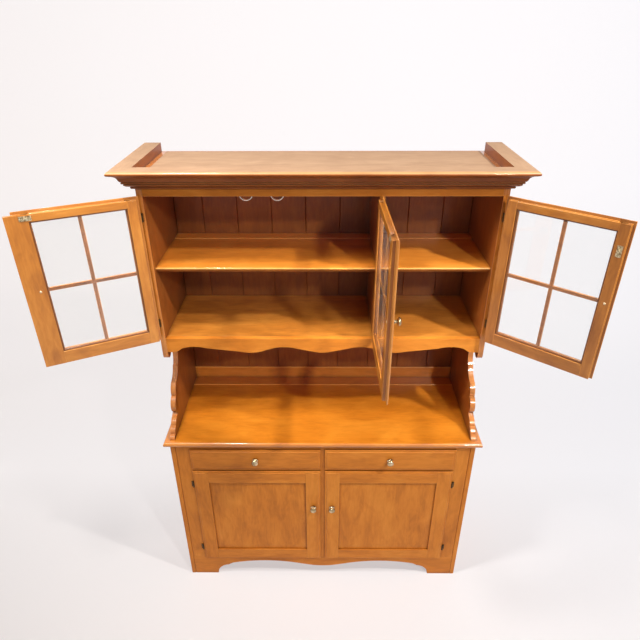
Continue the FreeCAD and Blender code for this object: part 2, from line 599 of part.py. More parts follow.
def door_leaf(door, label, height):
    """The leaf on the lip's edge, with the middle knuckle."""
    name = f"{door.name}_{label}"
    inner = "(knuckle_radius + knuckle_play)"
    middle = f"{height} - middle_knuckle / 2"
    pieces = [
        door.board(f"{label}_plate", inner, PIN_OUT, STEP_FACE, LIP_BACK,
                   f"{height} - hinge_height / 2", f"{height} + hinge_height / 2"),
        door.board(f"{label}_web", "0", PIN_OUT, "-pin_radius", "pin_radius",
                   middle, f"{height} + middle_knuckle / 2"),
        rod(f"{name}_knuckle", "knuckle_radius", "middle_knuckle", ("0", "0", middle)),
    ]
    bore = rod(f"{name}_bore", "pin_radius + pin_play", "2 * middle_knuckle",
               ("0", "0", f"{height} - middle_knuckle"))
    return cut(name, fused(f"{name}_solid", pieces), [bore])


def case_leaf(door, label, height, pin):
    """The leaf on the case, with the outer knuckles and the pin."""
    name = f"{door.name}_{label}_case"
    half, inner = "hinge_height / 2", "(middle_knuckle / 2 + pin_play)"
    outer_length = f"{half} - {inner}"
    pieces = [
        door.board(f"{label}_case_plate", "-leaf_reach", "knuckle_radius / 2",
                   f"{PIN_FORWARD} - leaf_thick", PIN_FORWARD, f"{height} - {half}", f"{height} + {half}"),
        rod(f"{name}_pin", "pin_radius", "hinge_height", ("0", "0", f"{height} - {half}")),
    ]
    for end, low_end in (("low", f"{height} - {half}"), ("high", f"{height} + {inner}")):
        pieces.append(rod(f"{name}_{end}", "knuckle_radius", outer_length, ("0", "0", low_end)))
        pieces.append(door.board(f"{label}_case_web_{end}", "-pin_radius", "pin_radius", "0", PIN_FORWARD,
                                 low_end, f"{low_end} + {outer_length}"))
    leaf = fused(name, pieces)
    leaf.Placement = FreeCAD.Placement(vector(*pin), FreeCAD.Rotation())
    return leaf


def strike(door, place, height, upright):
    """The brass plate on the door's back that the catch takes hold of."""
    length, width = ("strike_wide", "strike_long") if upright else ("strike_long", "strike_wide")
    spans = []
    for label, share, thick in (("plate", "1", "strike_thick"),
                                ("stub", "stub_share", "strike_thick + strike_stub")):
        half, rise = f"({length} * {share} / 2)", f"({width} * {share} / 2)"
        spans.append(door.board(f"strike_{label}", f"{place} - {half}", f"{place} + {half}", BACK_FACE,
                                f"{BACK_FACE} + {thick}", f"{height} - {rise}", f"{height} + {rise}"))
    return fused(f"{door.name}_strike", spans)


def glazing(door):
    """The cross of muntins in front of the glass, and the bevelled bead that holds it from behind."""
    middle_place = f"({door.sight_start} + {door.sight_end}) / 2"
    middle_height = f"({door.sight_low} + {door.sight_high}) / 2"
    half = "muntin_width / 2"
    bars = fused(f"{door.name}_muntins", [
        door.board("muntin_upright", f"{middle_place} - {half}", f"{middle_place} + {half}",
                   f"{LIP_BACK} - muntin_thick", LIP_BACK, door.sight_low, door.sight_high),
        door.board("muntin_level", door.sight_start, door.sight_end, f"{LIP_BACK} - muntin_thick", LIP_BACK,
                   f"{middle_height} - {half}", f"{middle_height} + {half}"),
    ])
    glass_back, bead_back = f"({LIP_BACK} + glass_thick)", f"({BACK_FACE} - bead_recess)"
    block = door.board("bead_block", f"{door.sight_start} - glass_rabbet", f"{door.sight_end} + glass_rabbet",
                       glass_back, bead_back,
                       f"{door.sight_low} - glass_rabbet", f"{door.sight_high} + glass_rabbet")
    mouth = doc.addObject("Part::Wedge", f"{door.name}_bead_mouth")
    start, end = door.sight_start, door.sight_end
    ends = (start, end) if door.hand > 0 else (f"-{end}", f"-{start}")
    for name, text in (
        ("Xmin", ends[0]), ("Xmax", ends[1]),
        ("X2min", f"{ends[0]} - bead_bevel"), ("X2max", f"{ends[1]} + bead_bevel"),
        ("Zmin", door.sight_low), ("Zmax", door.sight_high), ("Z2min", f"{door.sight_low} - bead_bevel"),
        ("Z2max", f"{door.sight_high} + bead_bevel"), ("Ymin", glass_back), ("Ymax", bead_back),
    ):
        mouth.setExpression(name, bound(text))
    bead = cut(f"{door.name}_bead", block, [mouth])
    door.hung(grouped(f"{door.name}_glazing_bars", [bars, bead]))
    play = "(glass_rabbet - glass_play)"
    pane = door.board("glass_pane", f"{door.sight_start} - {play}", f"{door.sight_end} + {play}",
                      LIP_BACK, glass_back, f"{door.sight_low} - {play}", f"{door.sight_high} + {play}")
    door.hung(grouped(f"{door.name}_glass", [pane]))


# Glazed doors: a pair with lapped meeting stiles on the left, and one door on the right
LIP_TOP = "(opening_height + lip_overlap)"
GLASS_HEIGHTS = ("door_play", "door_play", "(door_play + glass_bottom_rail)", f"({LIP_TOP} - glass_top_rail)",
                 f"({LIP_TOP} - lip_width)", LIP_TOP)
MEETING = f"(({INSIDE} + {PARTITION_LEFT}) / 2 + lip_overlap - meeting_gap / 2)"
LEFT_TONGUE = f"({MEETING} - meeting_shift + meeting_lap / 2)"
LEFT_LIP = f"({MEETING} - meeting_shift - meeting_lap / 2)"
MIDDLE_LIP = f"({MEETING} + meeting_shift + meeting_lap / 2)"
MIDDLE_BODY = f"({MEETING} + meeting_shift - meeting_lap / 2)"
RIGHT_END = f"({INSIDE} - {PARTITION_RIGHT} + 2 * lip_overlap)"
HUTCH_PIN_Y = f"(-hutch_depth - {PIN_FORWARD})"
SIDE_PIN_X = f"({INSIDE} + lip_overlap + {PIN_OUT})"
left_pin = (f"-{SIDE_PIN_X}", HUTCH_PIN_Y, CASE_FLOOR)
middle_pin = (f"{PARTITION_LEFT} + lip_overlap + {PIN_OUT}", HUTCH_PIN_Y, CASE_FLOOR)
right_pin = (SIDE_PIN_X, HUTCH_PIN_Y, CASE_FLOOR)
left_door = Door("left_door", 1, left_pin, -number("left_open"), LEFT_LIP, LEFT_TONGUE,
                 ("glass_stile", f"({LEFT_LIP} - meeting_stile)"), GLASS_HEIGHTS)
middle_door = Door("middle_door", -1, middle_pin, number("middle_open"), MIDDLE_LIP, MIDDLE_BODY,
                   ("glass_stile", f"({MIDDLE_BODY} - meeting_stile)"), GLASS_HEIGHTS)
right_door = Door("right_door", -1, right_pin, number("right_open"), RIGHT_END, f"({RIGHT_END} - lip_width)",
                  ("glass_stile", f"({RIGHT_END} - glass_stile)"), GLASS_HEIGHTS)

case_leaves = []
for door, pin in ((left_door, left_pin), (middle_door, middle_pin), (right_door, right_pin)):
    knob_place = f"(({door.sight_end} + {door.lip_end}) / 2)"
    knob_height = f"(({door.sight_low} + {door.sight_high}) / 2)"
    door_frame(door, "glass_rabbet", knob_place, knob_height)
    glazing(door)
    door.hung(knob(door.name, door.hand, knob_place, knob_height, FRONT_FACE, BACK_FACE))
    if door is right_door:
        plate = strike(door, knob_place, f"({door.lip_high} - strike_drop)", True)
    else:
        rail_middle = f"(({door.sight_high} + glass_rabbet + {door.body_high}) / 2)"
        plate = strike(door, f"({PIN_OUT} + strike_place)", rail_middle, False)
    leaves = [door_leaf(door, *hinge) for hinge in hinges(door)]
    door.hung(grouped(f"{door.name}_fittings", [*leaves, plate]))
    case_leaves += [case_leaf(door, *hinge, pin) for hinge in hinges(door)]

# Base doors: raised panels in lipped frames, hung on the outer stiles
BASE_OPENING = f"({STILE_INSIDE} - mullion_width / 2)"
BASE_END = f"({BASE_OPENING} + 2 * lip_overlap)"
BASE_LIP_TOP = f"({BASE_DOOR_HIGH} + lip_overlap)"
BASE_HEIGHTS = ("(-lip_overlap)", "(lip_width - lip_overlap)", "(panel_stile - lip_overlap)",
                f"({BASE_LIP_TOP} - panel_stile)", f"({BASE_LIP_TOP} - lip_width)", BASE_LIP_TOP)
BASE_PIN_X = f"({STILE_INSIDE} + lip_overlap + {PIN_OUT})"
BASE_PIN_Y = f"(-base_depth - {PIN_FORWARD})"


def raised_panel(door):
    """A panel held in the frame's rabbet, its field standing forward with bevelled borders."""
    play = "(glass_rabbet - panel_play)"
    board = door.board("panel_board", f"{door.sight_start} - {play}", f"{door.sight_end} + {play}",
                       LIP_BACK, BACK_FACE, f"{door.sight_low} - {play}", f"{door.sight_high} + {play}")
    field = doc.addObject("Part::Wedge", f"{door.name}_field")
    start, end = f"({door.sight_start} + panel_play)", f"({door.sight_end} - panel_play)"
    low_edge, high_edge = f"({door.sight_low} + panel_play)", f"({door.sight_high} - panel_play)"
    ends = (start, end) if door.hand > 0 else (f"-{end}", f"-{start}")
    for name, text in (
        ("Xmin", f"{ends[0]} + panel_bevel"), ("Xmax", f"{ends[1]} - panel_bevel"),
        ("X2min", ends[0]), ("X2max", ends[1]),
        ("Zmin", f"{low_edge} + panel_bevel"), ("Zmax", f"{high_edge} - panel_bevel"),
        ("Z2min", low_edge), ("Z2max", high_edge), ("Ymin", f"{LIP_BACK} - panel_rise"), ("Ymax", LIP_BACK),
    ):
        field.setExpression(name, bound(text))
    return fused(f"{door.name}_panel", [board, field])


for name, hand in (("left_base_door", 1), ("right_base_door", -1)):
    pin = (f"{-hand} * {BASE_PIN_X}", BASE_PIN_Y, "plinth_height")
    door = Door(name, hand, pin, 0, BASE_END, f"({BASE_END} - lip_width)",
                ("panel_stile", f"({BASE_END} - panel_stile)"), BASE_HEIGHTS)
    knob_place = f"(({door.sight_end} + {door.lip_end}) / 2)"
    knob_height = f"({BASE_LIP_TOP} - base_knob_drop)"
    door_frame(door, "glass_rabbet", knob_place, knob_height)
    door.hung(raised_panel(door))
    door.hung(knob(door.name, door.hand, knob_place, knob_height, FRONT_FACE, BACK_FACE))
    door.hung(grouped(f"{name}_hinges", [door_leaf(door, *hinge) for hinge in hinges(door)]))
    case_leaves += [case_leaf(door, *hinge, pin) for hinge in hinges(door)]

node(grouped("case_hinge_leaves", case_leaves))

# Drawers: a lipped front on a three-sided box with a thin bottom
DRAWER_FACE = "(-base_depth - lip_gap - lip_thick)"
DRAWER_STEP = f"({DRAWER_FACE} + lip_step)"
DRAWER_LIP_BACK = "(-base_depth - lip_gap)"
DRAWER_INNER = f"({DRAWER_FACE} + door_thick)"
DRAWER_FLOOR = f"({DRAWER_LOW} + drawer_play)"
for name, side in (("left_drawer", -1), ("right_drawer", 1)):
    def across(label, start, end, front, back, under, over):
        return handed_box(f"{name}_{label}", side, start, end, front, back, under, over)

    lip_ends = ("(mullion_width / 2 - lip_overlap)", f"({STILE_INSIDE} + lip_overlap)")
    lip_heights = (f"({DRAWER_LOW} - lip_overlap)", f"({DRAWER_TOP} + lip_overlap)")
    lip = across("lip", *lip_ends, DRAWER_STEP, DRAWER_LIP_BACK, *lip_heights)
    lip = eased(f"{name}_lip_eased", lip, "lip_round", [("y-", face) for face in ("x-", "x+", "z-", "z+")])
    face_ends, face_heights = (
        (f"{low} + lip_width", f"{high} - lip_width") for low, high in (lip_ends, lip_heights)
    )
    face = across("face", *face_ends, DRAWER_FACE, DRAWER_STEP, *face_heights)
    box_start, box_end = "(mullion_width / 2 + drawer_play)", f"({STILE_INSIDE} - drawer_play)"
    body = across("body", box_start, box_end, DRAWER_LIP_BACK, DRAWER_INNER,
                  DRAWER_FLOOR, f"{DRAWER_TOP} - drawer_play")
    middle_place = f"(({box_start} + {box_end}) / 2)"
    middle_height = f"(({DRAWER_LOW} + {DRAWER_TOP}) / 2)"
    hole = rod(f"{name}_knob_hole", "knob_screw + screw_play", "3 * door_thick",
               (f"{side} * {middle_place}", f"{DRAWER_FACE} - door_thick", middle_height), (0, 1, 0))
    node(cut(f"{name}_front", fused(f"{name}_front_solid", [lip, face, body]), [hole]))
    back_end = f"({DRAWER_INNER} + drawer_length)"
    side_top = f"({DRAWER_FLOOR} + drawer_side_height)"
    inner_start, inner_end = f"({box_start} + drawer_side)", f"({box_end} - drawer_side)"
    box_depth = (DRAWER_INNER, back_end)
    node(grouped(f"{name}_box", [
        across("near_side", box_start, inner_start, *box_depth, DRAWER_FLOOR, side_top),
        across("far_side", inner_end, box_end, *box_depth, DRAWER_FLOOR, side_top),
        across("rear", inner_start, inner_end, f"{back_end} - drawer_side", back_end, DRAWER_FLOOR, side_top),
    ]))
    bottom_low = f"({DRAWER_FLOOR} + drawer_bottom_up)"
    node(across("bottom", inner_start, inner_end, DRAWER_INNER, f"{back_end} - drawer_side",
                bottom_low, f"{bottom_low} + drawer_bottom"))
    node(knob(name, side, middle_place, middle_height, DRAWER_FACE, DRAWER_INNER))


# Catches: bowed spring clips that hold the doors shut
def clip(label, at, turn):
    half, bow = number("clip_length / 2"), number("clip_bow")
    drop, strip = number("clip_drop"), number("clip_strip")
    edges = outline((-half, 0), [
        [(-bow, 0)], [(0, strip - drop), (bow, 0)], [(half, 0)], [(half, -strip)], [(bow + strip, -strip)],
        [(0, -drop), (-bow - strip, -strip)], [(-half, -strip)],
    ])
    piece = padded(label, "y", edges, "clip_width")
    piece.Placement = FreeCAD.Placement(vector(*at), FreeCAD.Rotation(FreeCAD.Vector(0, 1, 0), turn))
    return piece


HUTCH_CLIP_Y = "-hutch_depth + clip_back + clip_width"
BASE_CLIP_Y = "-base_depth + clip_back + clip_width"
CLIP_PLACE = f"({SIDE_PIN_X} - {PIN_OUT} - strike_place)"
BASE_CLIP_PLACE = "(mullion_width / 2 + clip_length)"
node(grouped("catch_clips", [
    clip("clip_left", (f"-{CLIP_PLACE}", HUTCH_CLIP_Y, FRIEZE_LOW), 0),
    clip("clip_middle", (f"{PARTITION_LEFT} + lip_overlap - strike_place", HUTCH_CLIP_Y, FRIEZE_LOW), 0),
    clip("clip_right", (PARTITION_RIGHT, HUTCH_CLIP_Y, f"{CASE_FLOOR} + {LIP_TOP} - strike_drop"), -90),
    clip("clip_base_left", (f"-{BASE_CLIP_PLACE}", BASE_CLIP_Y, BASE_DOOR_TOP), 0),
    clip("clip_base_right", (BASE_CLIP_PLACE, BASE_CLIP_Y, BASE_DOOR_TOP), 0),
]))

doc.recompute()
faults = [part.Label for part in doc.Objects if "Invalid" in part.State or "Error" in part.State]
faults += [part.Label for part in NODES if part.Shape.isNull() or not part.Shape.isValid()]
if faults:
    raise RuntimeError(f"these objects failed: {faults}")
os.makedirs("parts", exist_ok=True)
for part in NODES:
    part.Shape.exportStep(f"parts/{part.Label}.step")
print(len(NODES), "nodes,", sum(len(part.Shape.Solids) for part in NODES), "solids")
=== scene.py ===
import math
import random

import bmesh
import bpy
from mathutils import Matrix, Vector
from mathutils.bvhtree import BVHTree


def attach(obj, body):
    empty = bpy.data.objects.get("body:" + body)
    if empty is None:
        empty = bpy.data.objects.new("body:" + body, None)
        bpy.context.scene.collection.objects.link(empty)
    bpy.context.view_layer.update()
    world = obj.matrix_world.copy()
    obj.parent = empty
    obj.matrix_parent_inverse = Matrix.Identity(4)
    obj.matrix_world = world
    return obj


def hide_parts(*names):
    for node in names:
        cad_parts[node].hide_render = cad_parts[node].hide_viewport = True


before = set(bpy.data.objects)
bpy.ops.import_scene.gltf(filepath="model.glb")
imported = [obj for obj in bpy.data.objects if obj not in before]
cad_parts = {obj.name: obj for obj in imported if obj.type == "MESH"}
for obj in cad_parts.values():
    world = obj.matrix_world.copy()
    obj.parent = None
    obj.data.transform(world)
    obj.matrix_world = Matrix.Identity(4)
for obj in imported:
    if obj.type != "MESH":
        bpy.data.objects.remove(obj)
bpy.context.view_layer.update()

# Base sides: two wide boards of solid maple that run from the floor to the counter, glued up from
# narrower strips with the grain upright, then stained honey and sprayed with gloss lacquer.
POINT_DIGITS = 7  # corners are matched to a tenth of a micron
FLAT_ANGLE = math.radians(0.3)  # faces that meet at less than this are one flat face
ARRIS_ANGLE = math.radians(30)  # edges that turn by more than this are eased
TOUCHING = 1e-4  # boards that come nearer than this meet
SQUARE_ON = 0.9  # what lies this much along an axis counts as square on it
GRAIN_ROOM = 6  # metres of timber in which each board finds its own piece of grain


def solids_of(node):
    """The separate solids of a node in the order they were made, each as its faces' corner points."""
    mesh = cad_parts[node].data
    points = [tuple(round(part, POINT_DIGITS) for part in corner.co) for corner in mesh.vertices]
    solids, faces, open_edges = [], [], set()
    for face in mesh.polygons:
        corners = [points[place] for place in face.vertices]
        faces.append(corners)
        for edge in zip(corners, corners[1:] + corners[:1]):
            if edge[::-1] in open_edges:
                open_edges.discard(edge[::-1])
            else:
                open_edges.add(edge)
        if not open_edges:
            solids.append(faces)
            faces = []
    return solids


def rough_sawn(faces):
    """One board as a mesh of flat faces, before its arrises are eased."""
    board = bmesh.new()
    corners = {}
    for face in faces:
        for point in face:
            if point not in corners:
                corners[point] = board.verts.new(point)
        board.faces.new([corners[point] for point in face])
    bmesh.ops.dissolve_limit(board, angle_limit=FLAT_ANGLE, verts=board.verts, edges=board.edges)
    return board


def stands_free(edge, neighbours):
    """Whether no neighbouring board touches the middle of an edge."""
    middle = (edge.verts[0].co + edge.verts[1].co) / 2
    return all(board.find_nearest(middle)[3] > TOUCHING for board in neighbours)


def lay_grain(board, along, luck):
    """Gives each point its place in the board: along the grain, across the width and through."""
    along = Vector(along).normalized()
    upright = abs(along.z) > SQUARE_ON
    across = Vector((1, 0, 0)) if upright else along.cross(Vector((0, 0, 1))).normalized()
    through = along.cross(across)

    def reach(side):
        places = [side.dot(corner.co) for corner in board.verts]
        return max(places) - min(places)

    if reach(through) > reach(across):
        across, through = through, across
    start = Vector([luck.uniform(0, GRAIN_ROOM) for side in range(3)])
    tint = luck.uniform(-1, 1)
    grain = board.verts.layers.float_vector.new("grain")
    tone = board.verts.layers.float.new("tone")
    for corner in board.verts:
        corner[grain] = start + Vector([side.dot(corner.co) for side in (along, across, through)])
        corner[tone] = tint


def joined(name, solids, finishes):
    """One mesh of several solids, with the finishes that their faces name by number."""
    shape = bmesh.new()
    for solid in solids:
        for face in solid.faces:
            face.smooth = True
        single = bpy.data.meshes.new(name)
        solid.to_mesh(single)
        solid.free()
        shape.from_mesh(single)
        bpy.data.meshes.remove(single)
    mesh = bpy.data.meshes.new(name)
    shape.to_mesh(mesh)
    shape.free()
    for finish in finishes:
        mesh.materials.append(finish)
    return mesh


def planed(name, node, body, grains, finishes, arris=0.0009):
    """One piece made of a node's boards, with its arrises eased where no other board meets them. The
    boards take the first of the finishes and the eased arrises the second, mostly a paler painted
    highlight."""
    boards = [rough_sawn(faces) for faces in solids_of(node)]
    trees = [BVHTree.FromBMesh(board) for board in boards]
    for place, board in enumerate(boards):
        neighbours = trees[:place] + trees[place + 1:]
        arrises = [edge for edge in board.edges
                   if edge.is_manifold and edge.calc_face_angle() > ARRIS_ANGLE
                   and stands_free(edge, neighbours)]
        eased = bmesh.ops.bevel(board, geom=arrises, offset=arris, offset_type="OFFSET", segments=2,
                                profile=0.5, affect="EDGES", clamp_overlap=True)
        # The eased arrises take the second finish, which mostly paints a highlight along them.
        for face in eased["faces"]:
            face.material_index = 1
        lay_grain(board, grains[place % len(grains)], random.Random(f"{node} {place}"))
    piece = bpy.data.objects.new(name, joined(name, boards, finishes))
    bpy.context.scene.collection.objects.link(piece)
    flat = piece.modifiers.new("flat faces", "WEIGHTED_NORMAL")
    flat.weight = 90  # broad faces stay flat right up to their eased arrises
    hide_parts(node)
    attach(piece, body)
    return piece


def put(tree, kind, settings=None, **sockets):
    """Adds a shader node. A socket is given by its name, with _ for a blank, or as i and its number,
    and is filled with a number, a colour or another node's output."""
    node = tree.nodes.new(kind)
    for name, value in (settings or {}).items():
        setattr(node, name, value)
    for name, value in sockets.items():
        numbered = name[0] == "i" and name[1:].isdigit()
        socket = node.inputs[int(name[1:]) if numbered else name.replace("_", " ")]
        if isinstance(value, bpy.types.NodeSocket):
            tree.links.new(value, socket)
        else:
            socket.default_value = value
    return node


def reckon(tree, operation, *values, clamp=False):
    """One step of arithmetic on numbers or other nodes' outputs."""
    places = {f"i{place}": value for place, value in enumerate(values)}
    return put(tree, "ShaderNodeMath", {"operation": operation, "use_clamp": clamp}, **places).outputs[0]


def spread(tree, value, **limits):
    """A value stretched from one pair of limits to another, both 0 to 1 where none is given."""
    return put(tree, "ShaderNodeMapRange", Value=value, **limits).outputs["Result"]


def patchy(tree, place, **sizes):
    """Soft uneven patches over a surface, from 0 to 1."""
    return put(tree, "ShaderNodeTexNoise", Vector=place, **sizes).outputs["Fac"]


def coloured(tree, share, start, end, between=()):
    """A colour that runs from a start to an end, each given as a share and its colour."""
    ramp = put(tree, "ShaderNodeValToRGB", Fac=share)
    stops = ramp.color_ramp.elements
    for stop, (position, colour) in zip(stops, (start, end)):
        stop.position, stop.color = position, (*colour, 1)
    for position, colour in between:
        stops.new(position).color = (*colour, 1)
    return ramp.outputs["Color"]


def roughen(tree, shader, height, strength, distance):
    """Fine relief in the surface of a finish."""
    relief = put(tree, "ShaderNodeBump", Strength=strength, Distance=distance, Height=height)
    tree.links.new(relief.outputs["Normal"], shader.inputs["Normal"])


def finish_of(name):
    """A new material, its node tree and its shader."""
    material = bpy.data.materials.new(name)
    material.use_nodes = True
    tree = material.node_tree
    return material, tree, tree.nodes["Principled BSDF"]


STRIPS_PER_METRE = 9.0
STAIN_START, DARKEST, LIGHTEST = -0.34, 0.22, 0.78
# Painted shade: the near-black brown that corners and gaps are darkened towards.
CORNER_SHADE = (0.09, 0.018, 0.003, 1)
LACQUER_ROUGH = 0.03


def wood(name, dark, middle, light, rough, coat, shine=0.5, shade_reach=0.02):
    """Maple stained from dark to light by each board's own grain, under a coat of lacquer. The last
    argument is how far painted shade darkens the colour out of corners and gaps, and 0 paints none."""
    material, tree, shader = finish_of(name)
    grain = put(tree, "ShaderNodeAttribute", {"attribute_name": "grain"}).outputs["Vector"]
    tone = put(tree, "ShaderNodeAttribute", {"attribute_name": "tone"}).outputs["Fac"]

    def stretched(lengthwise, crosswise, detail, distortion=0.0):
        place = put(tree, "ShaderNodeMapping", Vector=grain, Scale=(lengthwise, crosswise, crosswise))
        return patchy(tree, place.outputs["Vector"], Scale=1.0, Detail=detail, Roughness=0.55,
                      Distortion=distortion)

    figure = stretched(lengthwise=1.6, crosswise=9.0, detail=4.0, distortion=0.7)
    clouds = stretched(lengthwise=7.0, crosswise=16.0, detail=3.0, distortion=0.8)
    mottle = stretched(lengthwise=16.0, crosswise=90.0, detail=4.0, distortion=0.8)
    streaks = stretched(lengthwise=7.0, crosswise=240.0, detail=3.0)
    pores = stretched(lengthwise=26.0, crosswise=900.0, detail=2.0)
    width = put(tree, "ShaderNodeSeparateXYZ", Vector=grain).outputs["Y"]
    strip = reckon(tree, "FLOOR", reckon(tree, "MULTIPLY", width, STRIPS_PER_METRE))
    strip = put(tree, "ShaderNodeTexWhiteNoise", {"noise_dimensions": "1D"}, W=strip).outputs["Value"]
    depth = STAIN_START
    for layer, weight in ((figure, 0.42), (clouds, 0.68), (mottle, 0.40), (streaks, 0.11),
                          (strip, 0.07), (tone, 0.05)):
        depth = reckon(tree, "MULTIPLY_ADD", layer, weight, depth)
    stain = coloured(tree, depth, (DARKEST, dark), (LIGHTEST, light), between=[(0.5, middle)])
    # Painted shade: ambient occlusion darkens the colour in corners, creases and gaps.
    if shade_reach:
        openness = put(tree, "ShaderNodeAmbientOcclusion", {"samples": 6}, Distance=shade_reach).outputs["AO"]
        unshaded_share = spread(tree, openness, From_Min=0.25, From_Max=0.82, To_Min=0.3)
        stain = put(tree, "ShaderNodeMix", {"data_type": "RGBA"}, i0=unshaded_share, i6=CORNER_SHADE,
                    i7=stain).outputs[2]
    tree.links.new(stain, shader.inputs["Base Color"])
    dullness = spread(tree, streaks, To_Min=rough - 0.05, To_Max=rough + 0.07)
    tree.links.new(dullness, shader.inputs["Roughness"])
    grooves = reckon(tree, "MULTIPLY_ADD", pores, 0.6, streaks)
    roughen(tree, shader, grooves, strength=0.12, distance=0.0004)
    shader.inputs["Coat Weight"].default_value = coat
    shader.inputs["Coat Roughness"].default_value = LACQUER_ROUGH
    shader.inputs["Specular IOR Level"].default_value = shine
    return material


honey_maple = wood("honey_maple", dark=(0.34, 0.102, 0.0125), middle=(0.55, 0.195, 0.025),
                   light=(0.72, 0.298, 0.05), rough=0.36, coat=0.5)
# Eased arrises are painted paler than the boards: partly real wear, mostly a painted highlight.
arris_wear_and_highlight = wood("arris_wear_and_highlight", dark=(0.54, 0.19, 0.027), middle=(0.70, 0.285, 0.05),
                  light=(0.80, 0.38, 0.09), rough=0.32, coat=0.6, shade_reach=0)
maple = (honey_maple, arris_wear_and_highlight)
base_maple = wood("base_maple", dark=(0.45, 0.13, 0.0125), middle=(0.635, 0.203, 0.0205),
                  light=(0.765, 0.28, 0.036), rough=0.45, coat=0.05, shine=0.2)
# Painted highlight: the base's eased arrises are painted paler than its faces.
base_arris_highlight = wood("base_arris_highlight", dark=(0.50, 0.155, 0.0165), middle=(0.68, 0.232, 0.027),
                  light=(0.79, 0.31, 0.045), rough=0.42, coat=0.1, shine=0.25)
base_finish = (base_maple, base_arris_highlight)
UPRIGHT, LEVEL, DEEP = (0, 0, 1), (1, 0, 0), (0, 1, 0)
for hand in ("left", "right"):
    planed(f"base_side_board_{hand}", f"base_side_{hand}", "carcass", [UPRIGHT], base_finish)

# Base floor, shelf and back: a maple floor dowelled between the sides, a loose shelf that rests on
# pegs, and a thin back panel let in between the sides and nailed.
planed("base_floor_board", "base_bottom", "carcass", [LEVEL], maple)
planed("base_shelf_board", "base_shelf", "carcass", [LEVEL], maple)
planed("base_back_panel", "base_back", "carcass", [UPRIGHT], maple)

# Face frame: stiles and rails of planed maple, dowelled together and glued in between the sides, flush
# with their front edges. The mullion stands between the two drawers and the two doors.
planed("face_frame_stiles", "base_stiles", "carcass", [UPRIGHT], base_finish)
planed("face_frame_rails", "base_rails", "carcass", [LEVEL], base_finish)

# Plinth: one maple board bandsawn to a scroll under the doors, which leaves a foot at each end. It is
# glued in between the sides under the face frame, and the base's floor lies behind it.
planed("scrolled_plinth", "base_apron", "carcass", [LEVEL], base_finish)

# Drawer carcass: a divider behind the mullion and runners under the drawers' sides, of plain
# sanded hardwood without stain or lacquer, because they stay out of sight.
bare_wood = wood("bare_wood", dark=(0.44, 0.28, 0.13), middle=(0.56, 0.38, 0.20),
                 light=(0.66, 0.47, 0.27), rough=0.6, coat=0.0)
# Painted highlight: the eased arrises of the bare wood are painted paler than its faces.
bare_arris_highlight = wood("bare_arris_highlight", dark=(0.50, 0.33, 0.17), middle=(0.61, 0.43, 0.24),
                  light=(0.70, 0.52, 0.31), rough=0.6, coat=0.0)
unfinished = (bare_wood, bare_arris_highlight)
planed("drawer_divider_board", "drawer_divider", "carcass", [DEEP], unfinished)
planed("drawer_runner_strips", "drawer_runners", "carcass", [DEEP], unfinished)

# Counter: a wide top glued up from maple strips with a rounded front and ends, rubbed out to the
# highest gloss of the whole cupboard. A plate groove runs along it near the back; its edges are painted
# pale as a highlight, and the strip behind the groove is painted darker as shade.
GROOVE, GROOVE_REACH = -0.078, 0.006


def recoat(piece, finish, chosen):
    """Gives another finish to those faces of a piece that are chosen by where they are and look."""
    piece.data.materials.append(finish)
    for face in piece.data.polygons:
        if chosen(face):
            face.material_index = len(piece.data.materials) - 1


counter_maple = wood("counter_maple", dark=(0.46, 0.13, 0.0088), middle=(0.645, 0.203, 0.0136),
                     light=(0.78, 0.28, 0.025), rough=0.3, coat=1.0)
counter_rear_shade = wood("counter_rear_shade", dark=(0.36, 0.098, 0.010), middle=(0.50, 0.150, 0.0155),
                    light=(0.60, 0.20, 0.024), rough=0.3, coat=1.0)
# Painted highlight: a pale colour for the groove's edges, the rail's top edge and the shelves' fronts.
pale_edge_highlight = wood("pale_edge_highlight", dark=(0.76, 0.33, 0.06), middle=(0.88, 0.42, 0.09),
                   light=(0.94, 0.50, 0.13), rough=0.28, coat=0.8, shade_reach=0)
counter = planed("counter_board", "counter_top", "carcass", [LEVEL], (counter_maple, arris_wear_and_highlight),
                 arris=0.0014)
recoat(counter, counter_rear_shade, lambda face: face.normal.z > SQUARE_ON and face.center.y > GROOVE)
recoat(counter, pale_edge_highlight, lambda face: abs(face.center.y - GROOVE) < GROOVE_REACH)

# Hutch sides: boards from the counter to the cornice, bandsawn below the case to a hanging tip,
# a deep hollow, an ogee and a stepped foot, with the sawn edges sanded, lacquered and painted a little
# paler as a highlight. The faces that look inwards are painted dark as shade.
SAWN_EDGE_TILT = 0.2
inner_wall_shade_maple = wood("inner_wall_shade_maple", dark=(0.20, 0.055, 0.009), middle=(0.30, 0.087, 0.0135),
                  light=(0.39, 0.122, 0.0205), rough=0.4, coat=0.3, shade_reach=0.14)
sawn_edge_highlight = wood("sawn_edge_highlight", dark=(0.46, 0.135, 0.016), middle=(0.63, 0.21, 0.03),
                 light=(0.75, 0.29, 0.055), rough=0.25, coat=0.75)
for hand, inward in (("left", 1), ("right", -1)):
    side_board = planed(f"scrolled_side_{hand}", f"hutch_side_{hand}", "carcass", [UPRIGHT], maple)
    recoat(side_board, inner_wall_shade_maple, lambda face: face.normal.x * inward > SQUARE_ON)
    recoat(side_board, sawn_edge_highlight,
           lambda face: abs(face.normal.x) < SAWN_EDGE_TILT and face.normal.y < SQUARE_ON)

